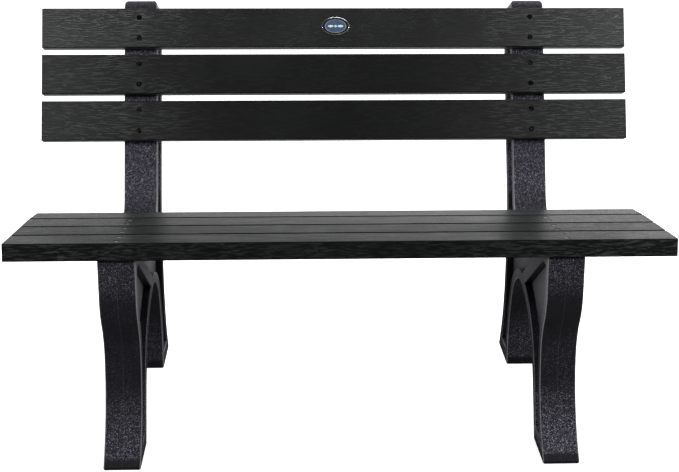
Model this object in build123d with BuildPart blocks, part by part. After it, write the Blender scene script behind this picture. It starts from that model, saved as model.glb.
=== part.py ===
"""Four-foot park bench with a back: recycled-plastic planks screwed to two moulded end frames.

Millimetres, +X along the bench, +Y from the front to the back, +Z up.
The origin is on the floor, under the middle of the bench.

The side view is drawn in its own coordinates (y, z): y = 0 is the seat's front top edge and
z = 0 is the floor. `side_plane` turns those into the bench's frame.
"""

import os
from math import cos, radians, sin, sqrt, tan

from build123d import *

# ---------------------------------------------------------------- driving dimensions

# Planks: the seat's four and the back's three are cut from one extruded profile.
plank_length = 1219.2
plank_width = 82.5
plank_thickness = 33.0
plank_edge_radius = 2.0
seat_plank_gap = 7.5
back_slat_gap = 14.5

# Seat: height of its front top edge, and how far it slopes down towards the back.
seat_height = 432.0
seat_slope = 7.3
rear_plank_extra_slope = 2.2
seat_overhang = 11.5

# Back: how far it leans, how far behind the seat its uprights rise from the seat's underside,
# and how far up them the lowest slat starts.
back_lean = 19.5
hip_gap = 67.0
slat_rise = 171.7

# End frames: one-piece mouldings with an I-shaped section, and a rib across their pockets.
frame_spacing = 818.0
frame_width = 69.0
frame_edge_radius = 3.5
rim_width = 20.0
pocket_depth = 15.0
pocket_corner_radius = 9.0
pocket_draft = 4.0
pocket_floor_height = 29.0
rib_width = 24.0
rib_angle = 30.5

# Upright.
upright_depth = 105.0
upright_rise = 22.0
upright_dome = 5.0
upright_front_corner = 16.0
upright_rear_corner = 30.0
upright_shoulder_radius = 16.0
hip_radius = 70.0

# Front leg: a straight top, an S-bend down to the shin, and a long sweep to the toe.
land_corner_radius = 7.0
shin_height = 190.0
knee_angle = 32.0
knee_radius = 120.0
shin_radius = 136.0
toe_sweep_radius = 260.0

# Rear leg: its waist is the narrowest place, this far behind the hip and above the floor.
rear_waist_offset = 104.0
rear_waist_z = 200.0
rear_waist_radius = 400.0
heel_sweep_radius = 385.0

# Feet.
nose_height = 10.0
nose_flat = 6.0
nose_radius = 6.0
sole_radius = 2.0

# Arch between the legs: its top is this far in front of the hip.
arch_apex_offset = 104.5
arch_apex_z = 242.0
arch_front_radius = 198.0
arch_front_sweep = 69.0
arch_rear_radius = 116.0
arch_rear_sweep = 63.0
rear_shin_radius = 330.0

# Screws: flat-head deck screws, two through each plank into each frame.
screw_length = 51.0
screw_head_radius = 4.7
screw_neck_radius = 1.9
screw_crest_radius = 2.4
screw_head_angle = 90.0
screw_sink = 1.0
screw_neck_length = 24.0
screw_tip_length = 6.0
thread_pitch = 2.8
drive_radius = 2.3
drive_depth = 1.8
drive_lobes = 6
drive_lobe_radius = 0.45
seat_screw_spread = 40.0
back_screw_spread = 43.0
plank_hole_radius = 2.7
pilot_clearance = 0.05
pilot_extra_depth = 2.0

# Badge on the top slat.
badge_width = 58.0
badge_height = 38.0
badge_base = 1.2
badge_rim_width = 2.4
badge_rim_height = 2.6
badge_enamel_gap = 0.1
badge_enamel_height = 0.8
badge_rise = 2.5
badge_pin_radius = 1.5
badge_pin_length = 9.0
badge_pin_spread = 34.0
badge_pin_clearance = 0.05
leaf_length = 13.0
leaf_height = 5.0
leaf_offset = 3.6
berry_radius = 2.4

# ---------------------------------------------------------------- the side view's own points


def along(start, direction, distance):
    """The point at a distance from start, in a unit direction of the side view."""
    return (start[0] + direction[0] * distance, start[1] + direction[1] * distance)


seat_angle = radians(seat_slope)
rear_angle = radians(seat_slope + rear_plank_extra_slope)
lean = radians(back_lean)

seat_back = (cos(seat_angle), -sin(seat_angle))
seat_up = (sin(seat_angle), cos(seat_angle))
rear_back = (cos(rear_angle), -sin(rear_angle))
rear_up = (sin(rear_angle), cos(rear_angle))
back_up = (sin(lean), cos(lean))
back_in = (cos(lean), -sin(lean))

# Underside of the seat planks, which is the frame's land, with a kink before the rear plank.
land_start = along((0.0, seat_height), seat_up, -plank_thickness)
seat_pitch = plank_width + seat_plank_gap
land_front = along(land_start, seat_back, seat_overhang)
land_kink = along(land_start, seat_back, 3 * seat_pitch - seat_plank_gap / 2)

# Upright: its front face carries the slats, and meets the land's line at the hip.
back_pitch = plank_width + back_slat_gap
back_length = 3 * plank_width + 2 * back_slat_gap
rear_plank_end = along(land_kink, rear_back, seat_plank_gap / 2 + plank_width)
hip = along(rear_plank_end, rear_back, hip_gap)
arch_apex = (hip[0] - arch_apex_offset, arch_apex_z)
upright_foot = along(hip, back_up, slat_rise)
back_start = along(upright_foot, back_in, -plank_thickness)
upright_top_front = along(upright_foot, back_up, back_length + upright_rise)
upright_top_rear = along(upright_top_front, back_in, upright_depth)
upright_top_middle = along(
    along(upright_top_front, back_in, upright_depth / 2), back_up, upright_dome
)

# Where the upright's rear face meets the line that stands on the rear leg's waist.
rear_waist_y = hip[0] + rear_waist_offset
rear_knee = (
    rear_waist_y,
    upright_top_rear[1] - (upright_top_rear[0] - rear_waist_y) / tan(lean),
)


def drop_to_nose(start, radius, side):
    """End of a leg's sweep at the nose's height, and the nose's corner straight on from there."""
    fall = start[1] - nose_height
    swing = radius - sqrt(radius**2 - fall**2)
    slope = fall / sqrt(radius**2 - fall**2)
    end = (start[0] + side * swing, nose_height)
    corner = (end[0] + side * (nose_height - nose_flat) * slope, nose_flat)
    return end, corner


def frame_outline():
    """The end frame's outline, as one closed chain of lines and tangent arcs."""
    with BuildLine() as chain:
        # Front leg, downwards from the land's front corner.
        bend_height = shin_height + (knee_radius + shin_radius) * sin(radians(knee_angle))
        front = Line(land_front, (land_front[0], bend_height))
        knee = JernArc(front @ 1, front % 1, knee_radius, knee_angle)
        shin = JernArc(knee @ 1, knee % 1, shin_radius, -knee_angle)
        shin_end = ((shin @ 1).X, (shin @ 1).Y)
        toe_end, toe_corner = drop_to_nose(shin_end, toe_sweep_radius, -1)
        RadiusArc(shin_end, toe_end, toe_sweep_radius)
        toe = (toe_corner[0], 0.0)
        Polyline(toe_end, toe_corner, toe)
        # Arch, from its apex down to each foot.
        arch_front = JernArc(arch_apex, (-1, 0), arch_front_radius, arch_front_sweep)
        arch_foot = arch_front @ 1
        front_heel = (
            arch_foot.X - arch_foot.Y / tan(radians(arch_front_sweep)),
            0.0,
        )
        Line(arch_foot, front_heel)
        Line(front_heel, toe)
        arch_rear = JernArc(arch_apex, (1, 0), arch_rear_radius, -arch_rear_sweep)
        rear_shin = JernArc(
            arch_rear @ 1, arch_rear % 1, rear_shin_radius, arch_rear_sweep - 90
        )
        rear_toe = ((rear_shin @ 1).X, 0.0)
        Line(rear_shin @ 1, rear_toe)
        # Rear leg's back edge, upwards from the heel.
        waist = (rear_waist_y, rear_waist_z)
        heel_end, heel_corner = drop_to_nose(waist, heel_sweep_radius, 1)
        heel = (heel_corner[0], 0.0)
        Polyline(rear_toe, heel, heel_corner, heel_end)
        RadiusArc(heel_end, waist, heel_sweep_radius)
        Polyline(waist, rear_knee, upright_top_rear)
        # Upright's top, its front face, and the seat's land.
        ThreePointArc(upright_top_rear, upright_top_middle, upright_top_front)
        Polyline(upright_top_front, hip, land_kink, land_front)
    corners = [
        (land_front, land_corner_radius),
        (hip, hip_radius),
        (upright_top_front, upright_front_corner),
        (upright_top_rear, upright_rear_corner),
        (rear_knee, rear_waist_radius),
        (toe_corner, nose_radius),
        (heel_corner, nose_radius),
        (toe, sole_radius),
        (heel, sole_radius),
        (front_heel, sole_radius),
        (rear_toe, sole_radius),
    ]
    return chain.line, corners


outline_chain, outline_corners = frame_outline()

with BuildSketch() as side_sketch:
    add(outline_chain)
    make_face()
    for corner, corner_radius in outline_corners:
        fillet(side_sketch.vertices().sort_by_distance((*corner, 0))[0], corner_radius)

outline_box = side_sketch.sketch.bounding_box()
bench_middle_y = outline_box.center().X
side_plane = Plane(origin=(0, -bench_middle_y, 0), x_dir=(0, 1, 0), z_dir=(1, 0, 0))


def face_plane(point, x, up_normal):
    """A plane at a side-view point and a place along the bench, its Z along a side-view normal."""
    return Plane(
        origin=(x, point[0] - bench_middle_y, point[1]),
        x_dir=(1, 0, 0),
        z_dir=(0, up_normal[0], up_normal[1]),
    )


# The two shoulders cut off an upright's top to round it, seen along the depth of the upright.
# In this plane X runs along the bench and Y runs down the upright from its top front edge.
shoulder_plane = Plane(
    origin=(0, upright_top_front[0] - bench_middle_y, upright_top_front[1]),
    x_dir=(1, 0, 0),
    z_dir=(0, back_in[0], back_in[1]),
)
with BuildSketch() as shoulder_sketch:
    with Locations((0, -upright_dome)):
        Rectangle(frame_width + 2, upright_shoulder_radius, align=(Align.CENTER, Align.MIN))
        RectangleRounded(
            frame_width,
            2 * upright_shoulder_radius + 1,
            upright_shoulder_radius,
            align=(Align.CENTER, Align.MIN),
            mode=Mode.SUBTRACT,
        )

# ---------------------------------------------------------------- planks: where each one lies

seat_names = ["front", "front_middle", "rear_middle", "rear"]
slat_names = ["lower", "middle", "upper"]


def seat_plank_plane(index):
    """Plane on a seat plank's top face, at the middle of its length and width."""
    if index < 3:
        middle = index * seat_pitch + plank_width / 2
        return face_plane(along((0.0, seat_height), seat_back, middle), 0.0, seat_up)
    bottom = along(land_kink, rear_back, (seat_plank_gap + plank_width) / 2)
    return face_plane(along(bottom, rear_up, plank_thickness), 0.0, rear_up)


def back_slat_plane(index):
    """Plane on a back slat's front face, at the middle of its length and width."""
    middle = index * back_pitch + plank_width / 2
    front_normal = (-back_in[0], -back_in[1])
    return face_plane(along(back_start, back_up, middle), 0.0, front_normal)


seat_planes = [seat_plank_plane(i) for i in range(len(seat_names))]
back_planes = [back_slat_plane(i) for i in range(len(slat_names))]
frame_sides = {"left": -frame_spacing / 2, "right": frame_spacing / 2}
screw_rows = [(plane, seat_screw_spread / 2) for plane in seat_planes]
screw_rows += [(plane, back_screw_spread / 2) for plane in back_planes]


def screw_places(half_spread):
    """Places of a plank's four screws on its face: two across it, over each end frame."""
    return [(x, y) for x in frame_sides.values() for y in (-half_spread, half_spread)]


# ---------------------------------------------------------------- end frames


def end_frame(name, x):
    """A moulded end frame: I-section with pockets on each side, drilled for its screws."""
    middle = side_plane.offset(x)
    with BuildPart() as frame:
        with BuildSketch(middle):
            add(side_sketch.sketch)
        extrude(amount=frame_width / 2, both=True)
        sides = frame.faces().filter_by(Axis.X).sort_by(Axis.X)
        fillet(sides[0].edges() + sides[-1].edges(), frame_edge_radius)
        with BuildSketch(shoulder_plane.offset(-1) * Pos(x, 0)):
            add(shoulder_sketch.sketch)
        extrude(amount=upright_depth + 2, mode=Mode.SUBTRACT)
        for side in (-1, 1):
            with BuildSketch(middle.offset(side * frame_width / 2)):
                add(pocket_sketch.sketch)
            extrude(amount=-side * pocket_depth, taper=pocket_draft, mode=Mode.SUBTRACT)
        pilot_radius = screw_crest_radius + pilot_clearance
        pilot_depth = screw_sink + screw_length + pilot_extra_depth
        for plane, half_spread in screw_rows:
            with Locations(*[plane * Pos(x, y) for y in (-half_spread, half_spread)]):
                Cylinder(
                    pilot_radius,
                    pilot_depth,
                    align=(Align.CENTER, Align.CENTER, Align.MAX),
                    mode=Mode.SUBTRACT,
                )
    frame.part.label = name
    return frame.part


def sharp_corners(face):
    """Vertices of a face where its outline changes direction by more than ten degrees."""
    corners = ShapeList()
    for vertex in face.vertices():
        point = Vector(*vertex)
        meeting = [edge for edge in face.edges() if edge.distance_to(vertex) < 1e-4]
        directions = [edge.tangent_at(edge.param_at_point(point)) for edge in meeting]
        if len(directions) == 2 and abs(directions[0].dot(directions[1])) < cos(radians(10)):
            corners.append(vertex)
    return corners


# Pockets: the outline moved in by the rim's width, kept above the feet, and parted by a rib
# that climbs forwards from the top of the arch.
with BuildSketch() as pocket_sketch:
    add(side_sketch.sketch)
    offset(amount=-rim_width, kind=Kind.INTERSECTION, mode=Mode.REPLACE)
    with Locations((bench_middle_y, pocket_floor_height)):
        Rectangle(
            outline_box.size.X,
            pocket_floor_height,
            align=(Align.CENTER, Align.MAX),
            mode=Mode.SUBTRACT,
        )
    with Locations(arch_apex):
        Rectangle(
            outline_box.size.X,
            rib_width,
            rotation=-rib_angle,
            align=(Align.MAX, Align.CENTER),
            mode=Mode.SUBTRACT,
        )
    fillet(sharp_corners(pocket_sketch.sketch), pocket_corner_radius)

# ---------------------------------------------------------------- planks


def plank(name, plane, half_spread, with_badge_holes=False):
    """A plank with rounded long edges and a countersunk hole for each screw."""
    with BuildPart() as board:
        with BuildSketch(plane):
            Rectangle(plank_length, plank_width)
        extrude(amount=-plank_thickness)
        fillet(board.edges().filter_by(Axis.X), plank_edge_radius)
        with Locations(*[plane * Pos(x, y) for x, y in screw_places(half_spread)]):
            CounterSinkHole(
                plank_hole_radius,
                screw_head_radius + screw_sink,
                counter_sink_angle=screw_head_angle,
            )
        if with_badge_holes:
            pins = [(x, badge_rise) for x in (-badge_pin_spread / 2, badge_pin_spread / 2)]
            with Locations(*[plane * Pos(x, y) for x, y in pins]):
                Hole(badge_pin_radius + badge_pin_clearance, depth=badge_pin_length + 1)
    board.part.label = name
    return board.part


# ---------------------------------------------------------------- screws


def screw_shape():
    """One flat-head screw along -Z, its head's top at z = -screw_sink. Thread ridges are rings."""
    cone_height = (screw_head_radius - screw_neck_radius) / tan(radians(screw_head_angle / 2))
    head_top = -screw_sink
    neck_top = head_top - cone_height
    thread_top = head_top - screw_neck_length
    tip_top = head_top - screw_length + screw_tip_length
    turns = int((thread_top - tip_top) / thread_pitch)
    ridge = []
    for turn in range(turns):
        z = thread_top - turn * thread_pitch
        ridge += [
            (screw_neck_radius, z),
            (screw_crest_radius, z - thread_pitch / 3),
            (screw_neck_radius, z - thread_pitch * 2 / 3),
        ]
    with BuildPart() as screw:
        with BuildSketch(Plane.XZ):
            with BuildLine():
                Polyline(
                    (0, head_top),
                    (screw_head_radius, head_top),
                    (screw_neck_radius, neck_top),
                    *ridge,
                    (screw_neck_radius, tip_top),
                    (0, head_top - screw_length),
                    close=True,
                )
            make_face()
        revolve(axis=Axis.Z)
        with BuildSketch(Plane.XY.offset(head_top)):
            Circle(drive_radius - drive_lobe_radius)
            with PolarLocations(drive_radius - drive_lobe_radius, drive_lobes):
                Circle(drive_lobe_radius)
        extrude(amount=-drive_depth, mode=Mode.SUBTRACT)
    return screw.part


def screw_group(name, plane, half_spread):
    """The four screws of one plank, as separate solids."""
    with BuildPart() as group:
        with Locations(*[plane * Pos(x, y) for x, y in screw_places(half_spread)]):
            add(one_screw)
    group.part.label = name
    return group.part


# ---------------------------------------------------------------- badge


# Sprig: two pointed leaves and a berry, raised in the middle of the badge.
with BuildSketch() as sprig_sketch:
    for side in (-1, 1):
        inner = (side * leaf_offset, badge_rise)
        tip = (side * (leaf_offset + leaf_length), badge_rise)
        leaf_middle = side * (leaf_offset + leaf_length / 2)
        with BuildLine():
            ThreePointArc(inner, (leaf_middle, badge_rise + leaf_height / 2), tip)
            ThreePointArc(tip, (leaf_middle, badge_rise - leaf_height / 2), inner)
        make_face()
    with Locations((0, badge_rise)):
        Circle(berry_radius)


def badge_body(plane):
    """Metal oval tray with a rim, a raised sprig and two pins that hold it in the slat."""
    floor = plane.offset(badge_base)
    with BuildPart() as body:
        with BuildSketch(plane):
            with Locations((0, badge_rise)):
                Ellipse(badge_width / 2, badge_height / 2)
        extrude(amount=badge_rim_height)
        fillet(body.faces().sort_by(Axis(plane.origin, plane.z_dir))[-1].edges(), 0.8)
        with BuildSketch(floor):
            with Locations((0, badge_rise)):
                Ellipse(badge_width / 2 - badge_rim_width, badge_height / 2 - badge_rim_width)
        extrude(amount=badge_rim_height, mode=Mode.SUBTRACT)
        with BuildSketch(floor):
            add(sprig_sketch.sketch)
        extrude(amount=badge_enamel_height + 0.3)
        pins = [(x, badge_rise) for x in (-badge_pin_spread / 2, badge_pin_spread / 2)]
        with Locations(*[plane * Pos(x, y) for x, y in pins]):
            Cylinder(
                badge_pin_radius,
                badge_pin_length,
                align=(Align.CENTER, Align.CENTER, Align.MAX),
            )
    body.part.label = "badge_body"
    return body.part


def badge_enamel(plane):
    """Blue enamel that fills the tray round the sprig."""
    inset = badge_rim_width + badge_enamel_gap
    with BuildPart() as enamel:
        with BuildSketch(plane.offset(badge_base)):
            with Locations((0, badge_rise)):
                Ellipse(badge_width / 2 - inset, badge_height / 2 - inset)
        extrude(amount=badge_enamel_height)
        with BuildSketch(plane.offset(badge_base)):
            add(sprig_sketch.sketch)
            offset(amount=badge_enamel_gap)
        extrude(amount=badge_enamel_height, mode=Mode.SUBTRACT)
    enamel.part.label = "badge_enamel"
    return enamel.part


# ---------------------------------------------------------------- make and write every piece

one_screw = screw_shape()
badge_plane = back_planes[-1]

pieces = [end_frame(f"{side}_end_frame", x) for side, x in frame_sides.items()]
for plank_name, plank_plane in zip(seat_names, seat_planes):
    pieces.append(plank(f"seat_plank_{plank_name}", plank_plane, seat_screw_spread / 2))
    pieces.append(screw_group(f"screws_seat_{plank_name}", plank_plane, seat_screw_spread / 2))
for plank_name, plank_plane in zip(slat_names, back_planes):
    has_badge = plank_name == slat_names[-1]
    pieces.append(plank(f"back_slat_{plank_name}", plank_plane, back_screw_spread / 2, has_badge))
    pieces.append(screw_group(f"screws_back_{plank_name}", plank_plane, back_screw_spread / 2))
pieces.append(badge_body(badge_plane))
pieces.append(badge_enamel(badge_plane))

os.makedirs("parts", exist_ok=True)
for piece in pieces:
    export_step(piece, f"parts/{piece.label}.step")
    print(piece.label, len(piece.solids()), "solids", round(piece.volume / 1000), "cm3")
print("bench", outline_box.size.X, "deep,", outline_box.size.Y, "high")
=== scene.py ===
# %% [markdown]
# # A park bench, from its frame to its finish
#
# The bench has two moulded end frames, four seat planks, three back slats, twenty-eight
# deck screws and a small oval badge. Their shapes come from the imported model, already in
# metres and already in place. This lesson gives them what a model of dimensions can't:
# embossed wood grain, a pebbled moulding skin, coated steel, chrome and enamel.
#
# The first step loads the model and keeps its box, because the finished picture may not
# be larger than the real thing.

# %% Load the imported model
from math import radians

import bpy
import numpy as np
from mathutils import Matrix, Vector


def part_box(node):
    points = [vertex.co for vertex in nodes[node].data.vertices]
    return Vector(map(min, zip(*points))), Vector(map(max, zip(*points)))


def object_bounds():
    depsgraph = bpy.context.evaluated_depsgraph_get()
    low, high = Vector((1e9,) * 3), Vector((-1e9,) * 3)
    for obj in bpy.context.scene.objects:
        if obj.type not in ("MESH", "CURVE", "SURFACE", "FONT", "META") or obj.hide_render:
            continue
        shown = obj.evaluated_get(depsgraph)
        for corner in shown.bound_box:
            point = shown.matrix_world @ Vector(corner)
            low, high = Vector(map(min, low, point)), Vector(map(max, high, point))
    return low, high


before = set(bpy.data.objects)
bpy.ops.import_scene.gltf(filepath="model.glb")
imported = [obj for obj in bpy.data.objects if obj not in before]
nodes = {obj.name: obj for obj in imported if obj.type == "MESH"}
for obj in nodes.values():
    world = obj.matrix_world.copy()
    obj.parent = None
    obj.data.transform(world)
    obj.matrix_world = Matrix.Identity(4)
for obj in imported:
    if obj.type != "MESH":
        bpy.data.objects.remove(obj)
cad_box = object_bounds()
print("loaded", len(nodes), "pieces")
print("bench box", [[round(v, 4) for v in corner] for corner in cad_box])

# %% [markdown]
# ## Small helpers for materials
#
# A material is a graph of nodes. Wiring one by hand takes three lines for each node, so a
# few helpers keep the recipes readable. The first adds a node with its settings and feeds
# its sockets: a feed may be another node's output, which is linked, or a plain value, which
# is set. The others name the nodes that every recipe here uses.

# %% Helpers that add nodes


def feed(tree, socket, source):
    """Link an output to a socket, or set the socket's own value."""
    if isinstance(source, bpy.types.NodeSocket):
        tree.links.new(source, socket)
    else:
        socket.default_value = source


def node(tree, kind, feeds=None, **settings):
    """A new node of a kind, with its settings, and its sockets fed by name or number."""
    made = tree.nodes.new(kind)
    for key, value in settings.items():
        setattr(made, key, value)
    for key, source in (feeds or {}).items():
        feed(tree, made.inputs[key], source)
    return made


def math(tree, operation, a, b=0.5, c=None, clamp=False):
    """The output of a Math node."""
    feeds = {0: a, 1: b}
    if c is not None:
        feeds[2] = c
    return node(tree, "ShaderNodeMath", feeds, operation=operation, use_clamp=clamp).outputs[0]


def noise(tree, vector, scale, detail, roughness):
    """The grey output of a Noise Texture."""
    feeds = {"Vector": vector, "Scale": scale, "Detail": detail, "Roughness": roughness}
    return node(tree, "ShaderNodeTexNoise", feeds).outputs["Fac"]


def spread(tree, value, low, high, to_low=0.0, to_high=1.0):
    """A value's range stretched to another one, smoothly and clamped."""
    feeds = {"Value": value, "From Min": low, "From Max": high}
    feeds.update({"To Min": to_low, "To Max": to_high})
    made = node(tree, "ShaderNodeMapRange", feeds, interpolation_type="SMOOTHSTEP")
    return made.outputs["Result"]


def mix_colour(tree, amount, a, b):
    """The colour output of a Mix node."""
    made = node(tree, "ShaderNodeMix", data_type="RGBA")
    feed(tree, made.inputs[0], amount)
    feed(tree, made.inputs[6], a)
    feed(tree, made.inputs[7], b)
    return made.outputs[2]


def vector_math(tree, operation, a, b):
    """The outputs of a Vector Math node."""
    return node(tree, "ShaderNodeVectorMath", {0: a, 1: b}, operation=operation).outputs


helpers = (node, math, noise, spread, mix_colour, vector_math)
print("helpers:", ", ".join(helper.__name__ for helper in helpers))

# %% [markdown]
# ## Helpers for groups and materials
#
# An effect that several pieces share, such as grain, is a node group: it is built once, has
# named inputs, and each material places it with values of its own. The gloss level stays on
# each material's own shader, because it is the same all over a piece.

# %% Helpers that start groups and materials
FLOAT, VECTOR, COLOUR = "NodeSocketFloat", "NodeSocketVector", "NodeSocketColor"


def start_group(name, inputs, outputs):
    """A shader node group with named sockets; inputs give (kind, name, first value)."""
    tree = bpy.data.node_groups.new(name, "ShaderNodeTree")
    for kind, label, value in inputs:
        socket = tree.interface.new_socket(label, in_out="INPUT", socket_type=kind)
        if value is not None:
            socket.default_value = value
    for kind, label in outputs:
        tree.interface.new_socket(label, in_out="OUTPUT", socket_type=kind)
    entry = tree.nodes.new("NodeGroupInput")
    exit_node = tree.nodes.new("NodeGroupOutput")
    return tree, entry.outputs, exit_node.inputs


def finish_group(tree, ends, sources):
    """Link the group's results, by name, to its output sockets."""
    for label, source in sources.items():
        tree.links.new(source, ends[label])
    print(tree.name, "has", len(tree.nodes), "nodes")


def use_group(tree, group, feeds=None):
    """The outputs of a group placed in a material."""
    return node(tree, "ShaderNodeGroup", feeds, node_tree=group).outputs


def own_coordinates(tree):
    """A piece's own coordinates in metres, and the way that its surface faces."""
    given = node(tree, "ShaderNodeTexCoord").outputs
    return given["Object"], given["Normal"]


def start_material(name):
    """A material with its Principled shader; returns the material, its tree and the shader."""
    material = bpy.data.materials.new(name)
    material.use_nodes = True
    tree = material.node_tree
    tree.nodes.clear()
    shader = tree.nodes.new("ShaderNodeBsdfPrincipled")
    end = tree.nodes.new("ShaderNodeOutputMaterial")
    tree.links.new(shader.outputs[0], end.inputs[0])
    return material, tree, shader


def dress(tree, shader, parts, relief, gloss):
    """Feed a group's colour, roughness and height to a shader; relief is in metres."""
    feed(tree, shader.inputs["Base Color"], parts["Colour"])
    feed(tree, shader.inputs["Roughness"], parts["Roughness"])
    bump = node(tree, "ShaderNodeBump", {"Height": parts["Height"], "Distance": relief})
    feed(tree, shader.inputs["Normal"], bump.outputs[0])
    shader.inputs["Specular IOR Level"].default_value = gloss


def paint(names, material):
    """Give named pieces one material over their whole surface."""
    for name in names:
        mesh = nodes[name].data
        mesh.materials.clear()
        mesh.materials.append(material)
    print(material.name, "on", len(names), "piece" + "s" * (len(names) > 1))


# %% [markdown]
# ## Embossed wood grain
#
# The planks are extruded plastic, and a roller presses a wood grain into them while they
# are warm. It is a shallow relief: short thin ridges that run with the plank, waver a
# little, and come and go in patches. An image could hold it, but a procedural pattern has
# no seams, works on every face and never repeats from plank to plank.
#
# Noise that is squeezed along the plank's length gives ridges. Feeding one noise into the
# place where another is read bends them, and a slow noise decides where the roller pressed
# hard. All planks run along X, so X is the long way on every one of them, whatever its lean.

# %% The grain as a node group
grain, g_in, g_out = start_group(
    "embossed_grain",
    [(VECTOR, "Place", None), (FLOAT, "Stretch", 0.11), (FLOAT, "Ridges", 380.0)],
    [(FLOAT, "Height"), (FLOAT, "Ridge"), (FLOAT, "Streak")],
)
squeeze = node(grain, "ShaderNodeCombineXYZ", {0: g_in["Stretch"], 1: 1.0, 2: 1.0}).outputs[0]
squeezed = vector_math(grain, "MULTIPLY", g_in["Place"], squeeze)[0]
wander = node(grain, "ShaderNodeTexNoise", {"Vector": g_in["Place"], "Scale": 38.0, "Detail": 2.0})
sway = vector_math(grain, "MULTIPLY", wander.outputs["Color"], (0.0, 0.004, 0.004))[0]
bent = vector_math(grain, "ADD", squeezed, sway)[0]
fibre = noise(grain, bent, g_in["Ridges"], 3.0, 0.55)
ridge = spread(grain, fibre, 0.5, 0.6)
pores = noise(grain, bent, 760.0, 1.0, 0.5)
patch = spread(grain, noise(grain, g_in["Place"], 16.0, 3.0, 0.6), 0.36, 0.64)
ridge_strength = math(grain, "MULTIPLY", ridge, math(grain, "MULTIPLY_ADD", patch, 0.55, 0.45))
height = math(grain, "MULTIPLY_ADD", pores, 0.2, ridge_strength)
streak = spread(grain, noise(grain, bent, 120.0, 2.0, 0.6), 0.38, 0.62)
finish_group(grain, g_out, {"Height": height, "Ridge": ridge_strength, "Streak": streak})

# %% [markdown]
# ## Black plank plastic
#
# The plastic is black with a trace of green, and its skin is a soft gloss: the ridges are
# less rough and painted lighter, a painted sheen, while valleys stay dull and a little dusty.
# Towards the ends of a plank the sheen on the ridges grows into a painted light where the side
# lamps fall, and the relief grows deeper there.
#
# The rounded long edges stay smooth and matt, and are painted black: a painted shade along the
# edges and the gaps between planks. They are the places that face neither the plank's broad
# side, nor its narrow side, nor its end. Asking the surface which way it faces works on a plank
# at any lean, and needs no drawing of where the edges are.

# %% The plank's finish as a node group
plank_end = cad_box[1][0]
END_LIGHT_AND_RELIEF_FROM = 0.22
PAINTED_EDGE_SHADE = (0.0006, 0.0008, 0.0007, 1)
VALLEY, RIDGE_SHEEN = (0.0014, 0.002, 0.0017, 1), (0.044, 0.051, 0.047, 1)
DUST = (0.009, 0.011, 0.01, 1)

plank_inputs = [(VECTOR, label, None) for label in ("Place", "Facing", "Shift", "Broad", "Narrow")]
plank_skin, k_in, k_out = start_group(
    "plank_skin",
    plank_inputs + [(FLOAT, "Middle Strength", 0.1), (FLOAT, "Streaks", 0.1)],
    [(COLOUR, "Colour"), (FLOAT, "Roughness"), (FLOAT, "Height")],
)
moved = vector_math(plank_skin, "ADD", k_in["Place"], k_in["Shift"])[0]
parts = use_group(plank_skin, grain, {"Place": moved})
along = node(plank_skin, "ShaderNodeSeparateXYZ", {0: k_in["Place"]}).outputs[0]
from_middle = math(plank_skin, "ABSOLUTE", along)
# painted light: the ridges' colour, and their relief, grow from the middle towards the plank's ends
ridge_strength = spread(plank_skin, from_middle, END_LIGHT_AND_RELIEF_FROM, plank_end, k_in["Middle Strength"], 1.0)
lighter_share = math(plank_skin, "MULTIPLY", parts["Ridge"], ridge_strength)
most = 0.0
for way in (k_in["Broad"], k_in["Narrow"], (1.0, 0.0, 0.0)):
    turned = vector_math(plank_skin, "DOT_PRODUCT", k_in["Facing"], way)["Value"]
    most = math(plank_skin, "MAXIMUM", most, math(plank_skin, "ABSOLUTE", turned))
rounded = spread(plank_skin, most, 0.93, 0.995, 1.0, 0.0)
dusty = spread(plank_skin, noise(plank_skin, moved, 5.0, 3.0, 0.55), 0.4, 0.75, 0.0, 0.25)
# the ridges are painted lighter than the valleys, a painted sheen that is full at the ends
colour = mix_colour(plank_skin, lighter_share, VALLEY, RIDGE_SHEEN)
colour = mix_colour(plank_skin, dusty, colour, DUST)
# painted shade: the rounded edges are painted black, so the edges and the gaps between planks read dark
colour = mix_colour(plank_skin, rounded, colour, PAINTED_EDGE_SHADE)
dull = math(plank_skin, "MULTIPLY_ADD", lighter_share, -0.14, 0.36)
dull = math(plank_skin, "MULTIPLY_ADD", dusty, 0.15, dull)
streaky = math(plank_skin, "SUBTRACT", 0.5, parts["Streak"])
streaky = math(plank_skin, "MULTIPLY", streaky, k_in["Streaks"])
dull = math(plank_skin, "MULTIPLY_ADD", streaky, 0.08, dull)
dull = math(plank_skin, "MAXIMUM", dull, rounded)
height = math(plank_skin, "MULTIPLY", parts["Height"], ridge_strength)
finish_group(plank_skin, k_out, {"Colour": colour, "Roughness": dull, "Height": height})

# %% [markdown]
# ## Seven planks
#
# Each plank places the same group and reads it from another place, so that no two carry the
# same grain. The seat is seen at a low angle and has been sat on, so its gloss comes and
# goes more and its relief is deeper. The back slats are plainer.
#
# Each finish gives, in this order: how much the ridges and their painted sheen show at the
# plank's middle, the gloss level, the relief in metres, and how much the gloss comes and goes
# in streaks.

# %% One material for each plank


def broad_side(name):
    """The direction that a piece's largest flat side faces."""
    return max(nodes[name].data.polygons, key=lambda face: face.area).normal.normalized()


def plank_material(name, shift, middle_strength, gloss, relief, streaks):
    """A plank's own material, with its pattern moved by shift."""
    material, tree, shader = start_material(f"grain_{name}")
    place, facing = own_coordinates(tree)
    broad = broad_side(name)
    narrow = broad.cross(Vector((1, 0, 0)))
    values = {"Place": place, "Facing": facing, "Shift": shift, "Middle Strength": middle_strength, "Streaks": streaks}
    values.update({"Broad": tuple(broad), "Narrow": tuple(narrow)})
    dress(tree, shader, use_group(tree, plank_skin, values), relief, gloss)
    return material


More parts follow.
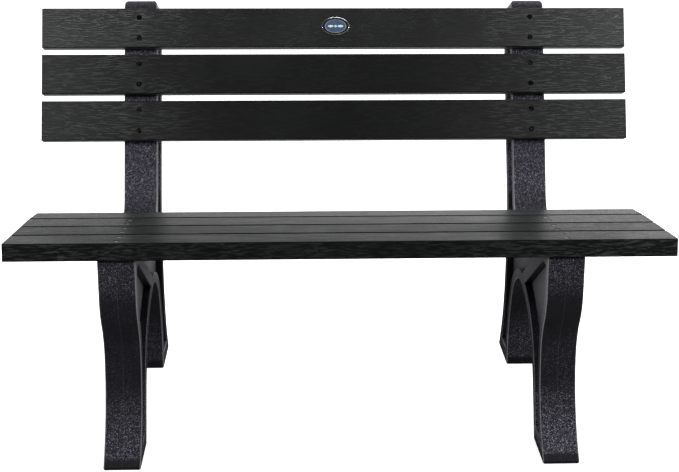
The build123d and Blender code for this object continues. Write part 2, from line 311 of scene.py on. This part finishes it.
PLAIN_SLAT = (0.1, 0.29, 0.0007, 0.1)
finishes = {
    "seat_plank_front": (0.35, 0.16, 0.001, 1.0),
    "seat_plank_front_middle": (0.3, 0.115, 0.001, 0.9),
    "seat_plank_rear_middle": (0.3, 0.19, 0.001, 0.9),
    "seat_plank_rear": (0.4, 0.29, 0.001, 0.6),
    "back_slat_lower": PLAIN_SLAT,
    "back_slat_middle": PLAIN_SLAT,
    "back_slat_upper": (0.15, 0.48, 0.0007, 0.1),
}
for count, (name, finish) in enumerate(finishes.items()):
    shift = (0.37 + 1.7 * count, 0.11 * count, 0.23 * count)
    paint([name], plank_material(name, shift, *finish))

# %% [markdown]
# ## Pebbled moulding skin
#
# The end frames are mouldings of recycled plastic. The mould is sand-blasted, so the skin
# is a field of small pebbles, with light specks that are partly the filler showing and partly
# painted glints.
#
# A Voronoi texture's cells make the pebbles, and each cell's random colour decides whether
# its pebble is a light one. A fine noise adds crumbs between them.

# %% The pebbles as a node group
pebbles, p_in, p_out = start_group(
    "pebbled_skin",
    [(VECTOR, "Place", None), (FLOAT, "Cells", 470.0)],
    [(FLOAT, "Height"), (FLOAT, "Specks"), (FLOAT, "Smooth")],
)
cell = node(
    pebbles, "ShaderNodeTexVoronoi", {"Vector": p_in["Place"], "Scale": p_in["Cells"]}
).outputs
dome = spread(pebbles, cell["Distance"], 0.05, 0.62, 1.0, 0.0)
chance = node(pebbles, "ShaderNodeSeparateColor", {0: cell["Color"]}).outputs[0]
light_ones = spread(pebbles, chance, 0.62, 0.92)
lit = math(pebbles, "MULTIPLY", math(pebbles, "MULTIPLY", light_ones, dome), 1.1)
crumbs = spread(pebbles, noise(pebbles, p_in["Place"], 620.0, 2.0, 0.6), 0.5, 0.68)
specks = math(pebbles, "MULTIPLY_ADD", crumbs, 0.45, lit, clamp=True)
smooth = spread(pebbles, noise(pebbles, p_in["Place"], 9.0, 3.0, 0.6), 0.4, 0.62)
finish_group(pebbles, p_out, {"Height": dome, "Specks": specks, "Smooth": smooth})

# %% [markdown]
# ## Zones of an end frame
#
# The middle of a leg and the toes are smoother and show fewer light specks, so they are darker:
# a painted shade where the leg faces away from the light. The rear leg shows few specks, the
# upright has a lighter skin up to its dark cap, and the sides from the arch's crown upwards are
# painted lighter, a painted light.
#
# Each zone is a mask that runs from 0 to 1 over a stretch of height or depth, so one mould
# skin can change from zone to zone without a seam. The masks sit in a group of their own.

# %% The zones as a node group
SMOOTH_FROM, SMOOTH_TO = 0.09, 0.33
TOE_TOP = 0.02
CROWN_FROM, CROWN_FULL = 0.17, 0.36
UPRIGHT_FRONT, SEAT_REAR = 0.08, 0.36
CAP_FROM = 0.745
REAR_FROM, REAR_FULL = 0.06, 0.16

zones, z_in, z_out = start_group(
    "frame_zones",
    [(VECTOR, "Place", None), (VECTOR, "Facing", None), (FLOAT, "Smooth", 0.5)],
    [(FLOAT, label) for label in ("Calm Shade", "Crown", "Sideways", "Upright", "Front")],
)
axes = node(zones, "ShaderNodeSeparateXYZ", {0: z_in["Place"]}).outputs
# painted shade: the mid-leg and the toes get fewer light specks, so they are darker where the leg faces
# away from the light
above = spread(zones, axes[2], SMOOTH_FROM - 0.05, SMOOTH_FROM + 0.06)
below = spread(zones, axes[2], SMOOTH_TO - 0.02, SMOOTH_TO + 0.03, 1.0, 0.0)
uneven = math(zones, "MULTIPLY_ADD", z_in["Smooth"], 0.1, 0.9)
calm_shade = math(zones, "MULTIPLY", math(zones, "MULTIPLY", above, below), uneven)
toe = spread(zones, axes[2], TOE_TOP - 0.006, TOE_TOP, 1.0, 0.0)
calm_shade = math(zones, "MAXIMUM", calm_shade, toe)
facing_x = node(zones, "ShaderNodeSeparateXYZ", {0: z_in["Facing"]}).outputs[0]
sideways = spread(zones, math(zones, "ABSOLUTE", facing_x), 0.5, 0.8)
# painted light: the sides from the arch's crown upwards are painted lighter
crown = math(zones, "MULTIPLY", sideways, spread(zones, axes[2], CROWN_FROM, CROWN_FULL))
behind = spread(zones, axes[1], UPRIGHT_FRONT, UPRIGHT_FRONT + 0.05)
upright = math(zones, "MULTIPLY", behind, spread(zones, axes[2], SEAT_REAR, SEAT_REAR + 0.03))
cap = spread(zones, axes[2], CAP_FROM, CAP_FROM + 0.01, 1.0, 0.3)
upright = math(zones, "MULTIPLY", upright, cap)
front = math(zones, "MAXIMUM", spread(zones, axes[1], REAR_FROM, REAR_FULL, 1.0, 0.3), upright)
masks = {"Calm Shade": calm_shade, "Crown": crown, "Sideways": sideways, "Upright": upright, "Front": front}
finish_group(zones, z_out, masks)

# %% [markdown]
# ## Charcoal plastic
#
# The long rounded edges are painted pale, a painted highlight where they catch the light, and a
# faint line runs down the middle where the mould's halves met. Both follow the distance from the
# moulding's middle plane, which is measured from the piece's own box, so the same group serves
# the left and the right frame.

# %% The frame's finish as a node group
EDGE_ROUND = 0.0035
SHADED_PIT, PEBBLE = (0.0025, 0.0023, 0.004, 1), (0.0085, 0.0075, 0.0135, 1)
PAINTED_CROWN_LIGHT, UPRIGHT_SKIN = (0.3, 0.29, 0.3, 1), (0.06, 0.058, 0.078, 1)
SPECK_AND_GLINT, MOULD_LINE, PAINTED_EDGE_HIGHLIGHT = (0.44, 0.42, 0.55, 1), (0.11, 0.11, 0.12, 1), (0.45, 0.44, 0.46, 1)

frame_inputs = [(VECTOR, label, None) for label in ("Place", "Facing", "Shift")]
frame_inputs += [(FLOAT, "Middle", 0.0), (FLOAT, "Half Width", 0.0345), (FLOAT, "Low Specks", 1.0)]
frame_skin, f_in, f_out = start_group(
    "frame_skin", frame_inputs, [(COLOUR, "Colour"), (FLOAT, "Roughness"), (FLOAT, "Height")]
)
moved = vector_math(frame_skin, "ADD", f_in["Place"], f_in["Shift"])[0]
skin = use_group(frame_skin, pebbles, {"Place": moved})
zone_feeds = {"Place": f_in["Place"], "Facing": f_in["Facing"], "Smooth": skin["Smooth"]}
zone = use_group(frame_skin, zones, zone_feeds)
rough = math(frame_skin, "MAXIMUM", math(frame_skin, "SUBTRACT", 1.0, zone["Calm Shade"]), zone["Crown"])

# %% Distance from the mould's line
axes = node(frame_skin, "ShaderNodeSeparateXYZ", {0: f_in["Place"]}).outputs
off_middle = math(frame_skin, "ABSOLUTE", math(frame_skin, "SUBTRACT", axes[0], f_in["Middle"]))
line = spread(frame_skin, off_middle, 0.0002, 0.001, 1.0, 0.0)
in_from_side = math(frame_skin, "SUBTRACT", f_in["Half Width"], off_middle)
turning = spread(frame_skin, in_from_side, 0.2 * EDGE_ROUND, 0.7 * EDGE_ROUND, 1.0, 0.0)
off_side = spread(frame_skin, in_from_side, 0.0001, 0.0004)
edge = math(frame_skin, "MULTIPLY", turning, off_side)
print("rounded edges", EDGE_ROUND * 1000, "mm")

# %% Where the specks show
# painted light: the specks show more strongly low on the legs, where the feet flare up towards the
# light, with a share of its own for each frame
LOW_TO, HIGH_FROM, HIGH_SPECKS = 0.2, 0.3, 0.52
by_height = spread(frame_skin, axes[2], LOW_TO, HIGH_FROM, f_in["Low Specks"], HIGH_SPECKS)
more_above = math(frame_skin, "MULTIPLY_ADD", zone["Upright"], 1.2, 1.0)
by_height = math(frame_skin, "MULTIPLY", by_height, more_above)
shown = math(frame_skin, "MULTIPLY", math(frame_skin, "MULTIPLY_ADD", rough, 0.9, 0.04), by_height)
shown = math(frame_skin, "MULTIPLY", shown, zone["Front"])
shown = math(frame_skin, "MAXIMUM", shown, zone["Crown"])
shown = math(frame_skin, "MULTIPLY", skin["Specks"], shown)
print("specks as strong as", HIGH_SPECKS, "above", HIGH_FROM, "m")

# %% Colour, roughness and height of the frame
# painted shade: the pits between the pebbles are painted darker than the pebbles' tops
colour = mix_colour(frame_skin, skin["Height"], SHADED_PIT, PEBBLE)
# painted highlight: the rounded edges are painted pale where they catch the light
uneven = math(frame_skin, "MULTIPLY_ADD", skin["Specks"], 0.5, 0.5)
edge_highlight = math(frame_skin, "MULTIPLY", edge, uneven)
for amount, share, tint in (
    # painted light on the sides above the arch's crown
    (zone["Crown"], 0.7, PAINTED_CROWN_LIGHT),
    (zone["Upright"], 0.3, UPRIGHT_SKIN),
    # light specks, partly the filler and partly painted glints
    (shown, 1.0, SPECK_AND_GLINT),
    (line, 0.15, MOULD_LINE),
    # painted highlight on the rounded edges
    (edge_highlight, 1.0, PAINTED_EDGE_HIGHLIGHT),
):
    colour = mix_colour(frame_skin, math(frame_skin, "MULTIPLY", amount, share), colour, tint)
dull = math(frame_skin, "MULTIPLY_ADD", rough, 0.12, 0.55)
dull = math(frame_skin, "MULTIPLY_ADD", zone["Sideways"], 0.3, dull, clamp=True)
depth = math(frame_skin, "MULTIPLY_ADD", rough, 0.9, 0.1)
height = math(frame_skin, "MULTIPLY", skin["Height"], depth)
height = math(frame_skin, "MULTIPLY_ADD", line, 0.4, height)
finish_group(frame_skin, f_out, {"Colour": colour, "Roughness": dull, "Height": height})

# %% Two frames
for side, shift, low_specks in (("left", (0.0, 0.0, 0.0), 0.85), ("right", (0.7, 0.4, 0.9), 1.3)):
    name = f"{side}_end_frame"
    low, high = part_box(name)
    material, tree, shader = start_material(f"pebbled_{side}")
    place, facing = own_coordinates(tree)
    values = {"Place": place, "Facing": facing, "Shift": shift, "Low Specks": low_specks}
    values.update({"Middle": (low[0] + high[0]) / 2, "Half Width": (high[0] - low[0]) / 2})
    dress(tree, shader, use_group(tree, frame_skin, values), 0.0008, 0.2)
    paint([name], material)

# %% [markdown]
# ## Screws
#
# The screws are steel with a dark coating. Turning marks circle the heads, and the coating
# is rubbed through here and there. On the seat it is rubbed bright, and in the back it is
# nearly whole and black. One group makes both, with other colours.

# %% Coated steel
coated, s_in, s_out = start_group(
    "coated_steel",
    [(VECTOR, "Place", None), (COLOUR, "Coating", None), (COLOUR, "Metal", None), (FLOAT, "From", 0.3)],
    [(COLOUR, "Colour"), (FLOAT, "Roughness")],
)
marks = noise(coated, s_in["Place"], 900.0, 2.0, 0.6)
bare_at = math(coated, "ADD", s_in["From"], 0.18)
lighter_share = spread(coated, noise(coated, s_in["Place"], 260.0, 2.0, 0.6), s_in["From"], bare_at)
steel = mix_colour(coated, lighter_share, s_in["Coating"], s_in["Metal"])
dull = math(coated, "MULTIPLY_ADD", marks, 0.25, 0.22)
finish_group(coated, s_out, {"Colour": steel, "Roughness": dull})

# %% Seat screws and back screws
for where, coating, metal, rubbed_from in (("seat", 0.05, 0.9, 0.3), ("back", 0.004, 0.05, 0.5)):
    material, tree, shader = start_material(f"coated_steel_{where}")
    values = {"Place": own_coordinates(tree)[0], "From": rubbed_from}
    values.update({"Coating": (coating,) * 3 + (1,), "Metal": (metal,) * 3 + (1,)})
    parts = use_group(tree, coated, values)
    feed(tree, shader.inputs["Base Color"], parts["Colour"])
    feed(tree, shader.inputs["Roughness"], parts["Roughness"])
    shader.inputs["Metallic"].default_value = 1.0
    paint(sorted(name for name in nodes if name.startswith(f"screws_{where}")), material)

# %% [markdown]
# ## Badge
#
# The badge is a small cast oval: a polished rim, a raised sprig and blue enamel between
# them.
#
# The border and the rim follow the oval. Measured from the badge's centre, a point's
# distance along the slat over half the width, and up the slat over half the height, make a
# number that is 1 all along the enamel's edge. The slats' own centres give the direction
# up the slat. Both finishes need this number, so it is a group.

# %% The oval's own coordinate


def middle(name):
    """The centre of a piece's box."""
    low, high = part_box(name)
    return (Vector(low) + Vector(high)) / 2


up_slat = (middle("back_slat_upper") - middle("back_slat_lower")).normalized()
low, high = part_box("badge_enamel")
half_across = (high[0] - low[0]) / 2
half_up = (high[2] - low[2]) / 2 / up_slat.z
print("enamel", round(half_across * 2000, 1), "by", round(half_up * 2000, 1), "mm")

badge_oval, o_in, o_out = start_group("badge_oval", [(VECTOR, "Place", None)], [(FLOAT, "Oval")])
out = vector_math(badge_oval, "SUBTRACT", o_in["Place"], tuple(middle("badge_enamel")))[0]
across = vector_math(badge_oval, "DOT_PRODUCT", out, (1 / half_across, 0, 0))["Value"]
up_it = vector_math(badge_oval, "DOT_PRODUCT", out, tuple(up_slat / half_up))["Value"]
squares = math(badge_oval, "MULTIPLY", across, across)
squares = math(badge_oval, "MULTIPLY_ADD", up_it, up_it, squares)
finish_group(badge_oval, o_out, {"Oval": math(badge_oval, "SQRT", squares)})

# %% [markdown]
# ## Rim and sprig
#
# The rim is chrome, smudged by fingers. The sprig was cast with it, but it stands lower and
# was never polished, so it is satin and paler. One piece carries both, so the oval number
# says which finish belongs where.

# %% Chrome rim, satin sprig
chrome, tree, shader = start_material("polished_rim")
place = own_coordinates(tree)[0]
oval = use_group(tree, badge_oval, {"Place": place})["Oval"]
smudge = noise(tree, place, 160.0, 3.0, 0.6)
shine = mix_colour(tree, smudge, (0.55, 0.55, 0.56, 1), (0.85, 0.84, 0.83, 1))
rim = spread(tree, oval, 0.84, 0.88)
feed(tree, shader.inputs["Base Color"], mix_colour(tree, rim, (0.78, 0.8, 0.83, 1), shine))
polish = spread(tree, smudge, 0.3, 0.7, 0.1, 0.28)
satin = math(tree, "MULTIPLY_ADD", math(tree, "SUBTRACT", 1.0, rim), 0.3, polish)
feed(tree, shader.inputs["Roughness"], satin)
feed(tree, shader.inputs["Metallic"], math(tree, "MULTIPLY_ADD", rim, 0.8, 0.2))
paint(["badge_body"], chrome)

# %% [markdown]
# ## Enamel
#
# Enamel is glass melted into the tray. It pools, so its blue is a little deeper in places.
# Its dark border and the pale line inside it are bands of the oval number.

# %% Blue enamel with its border
enamel, tree, shader = start_material("blue_enamel")
place = own_coordinates(tree)[0]
oval = use_group(tree, badge_oval, {"Place": place})["Oval"]
border = spread(tree, oval, 0.84, 0.87)
inside = spread(tree, oval, 0.84, 0.86, 1.0, 0.0)
thread = math(tree, "MULTIPLY", spread(tree, oval, 0.77, 0.8), inside)
pool = noise(tree, place, 70.0, 2.0, 0.5)
blue = mix_colour(tree, pool, (0.035, 0.075, 0.135, 1), (0.075, 0.14, 0.22, 1))
blue = mix_colour(tree, thread, blue, (0.25, 0.25, 0.26, 1))
blue = mix_colour(tree, border, blue, (0.006, 0.008, 0.014, 1))
feed(tree, shader.inputs["Base Color"], blue)
feed(tree, shader.inputs["Roughness"], spread(tree, pool, 0.3, 0.7, 0.12, 0.25))
paint(["badge_enamel"], enamel)

# %% [markdown]
# ## Floor
#
# The bench stands on a pale floor that runs on past the edge of the view. The floor is
# bright to the camera and darker to the light that bounces off it, because a Light Path
# node tells the two apart. That keeps the undersides of a black bench black.

# %% Pale floor
FLOOR_HALF = 40.0
corners = np.array([[-1, -1, 0], [1, -1, 0], [1, 1, 0], [-1, 1, 0]]) * FLOOR_HALF
floor_mesh = bpy.data.meshes.new("floor")
floor_mesh.from_pydata(corners.tolist(), [], [(0, 1, 2, 3)])
floor = bpy.data.objects.new("floor", floor_mesh)
bpy.context.scene.collection.objects.link(floor)
pale, tree, shader = start_material("pale_floor")
seen = node(tree, "ShaderNodeLightPath").outputs["Is Camera Ray"]
tone = mix_colour(tree, seen, (0.3, 0.3, 0.3, 1), (0.92, 0.92, 0.92, 1))
feed(tree, shader.inputs["Base Color"], tone)
shader.inputs["Roughness"].default_value = 1.0
shader.inputs["Specular IOR Level"].default_value = 0.0
feed(tree, shader.inputs["Emission Color"], mix_colour(tree, seen, (0, 0, 0, 1), (1, 1, 1, 1)))
shader.inputs["Emission Strength"].default_value = 0.75
floor_mesh.materials.append(pale)
print("floor", 2 * FLOOR_HALF, "m wide")

# %% [markdown]
# ## Sky
#
# The bench is black, so what it shows is mostly what it mirrors. A white wall stands behind
# it, a little brighter to the right, and the seat catches that at a low angle. The side
# where the camera stands is dim, which keeps the fronts of the planks black.
#
# The sky gives both: its strength follows the direction's Y and X. The camera itself sees
# plain white.

# %% A bright wall behind, a dim room in front
FRONT_LEVEL, WALL_LEVEL = 0.055, 1.0
LEFT_SHARE, RIGHT_SHARE = 0.93, 1.6

world = bpy.data.worlds.new("studio")
bpy.context.scene.world = world
world.use_nodes = True
tree = world.node_tree
looking = node(tree, "ShaderNodeTexCoord").outputs["Generated"]
ways = node(tree, "ShaderNodeSeparateXYZ", {0: looking}).outputs
level = spread(tree, ways[1], -0.5, 0.5, FRONT_LEVEL, WALL_LEVEL)
to_right = spread(tree, ways[0], -0.02, 0.2, LEFT_SHARE, RIGHT_SHARE)
seen = node(tree, "ShaderNodeLightPath").outputs["Is Camera Ray"]
level = math(tree, "MAXIMUM", math(tree, "MULTIPLY", level, to_right), seen)
feed(tree, tree.nodes["Background"].inputs["Color"], (1, 1, 1, 1))
feed(tree, tree.nodes["Background"].inputs["Strength"], level)
bpy.context.scene.view_settings.view_transform = "Standard"
print("sky from", FRONT_LEVEL, "in front to", WALL_LEVEL, "behind")

# %% [markdown]
# ## Lamps
#
# Two soft boxes to the left and the right of the camera brighten the planks towards their
# ends, and a lamp overhead reaches what faces up. Square area lamps give soft reflections.

# %% Lamps


def lamp(name, place, towards, size, power):
    """A square area lamp at a place, turned towards a point."""
    data = bpy.data.lights.new(name, "AREA")
    data.size = size
    data.energy = power
    made = bpy.data.objects.new(name, data)
    aim = (Vector(towards) - Vector(place)).to_track_quat("-Z", "Y")
    made.matrix_world = Matrix.Translation(place) @ aim.to_matrix().to_4x4()
    bpy.context.scene.collection.objects.link(made)
    print("lamp", name, power, "W")


lamp("top", (0.5, 0.5, 3.5), (0.0, 0.0, 0.4), 2.4, 120.0)
for name, side, power in (("left_box", -1, 46.0), ("right_box", 1, 39.0)):
    lamp(name, (2.05 * side, -2.55, 2.0), (0.0, 0.0, 0.5), 0.8, power)

# %% [markdown]
# ## Camera
#
# The camera stands in front of the bench, above the top of its back, and looks down at it a
# little. A small shift moves the picture without turning the camera, so that upright lines
# keep their directions. The camera's axes are written as the columns of a matrix, which
# says exactly where it points.

# %% Camera
yaw, pitch, roll = radians(-2.46), radians(15.61), radians(-0.30)
turn = Matrix.Rotation(yaw, 3, "Z") @ Matrix.Rotation(-pitch, 3, "X")
turn = turn @ Matrix.Rotation(roll, 3, "Y")
right, forward, up = turn.col[0], turn.col[1], turn.col[2]
camera_data = bpy.data.cameras.new("camera")
camera_data.lens = 74.73
camera_data.shift_x = -0.0253
camera_data.shift_y = -0.0802
camera = bpy.data.objects.new("camera", camera_data)
facing = Matrix((right, up, -forward)).transposed()
camera.matrix_world = Matrix.Translation((-0.0798, -2.728, 1.2185)) @ facing.to_4x4()
bpy.context.scene.collection.objects.link(camera)
bpy.context.scene.camera = camera
print("camera", camera_data.lens, "mm at", [round(v, 3) for v in camera.matrix_world.translation])
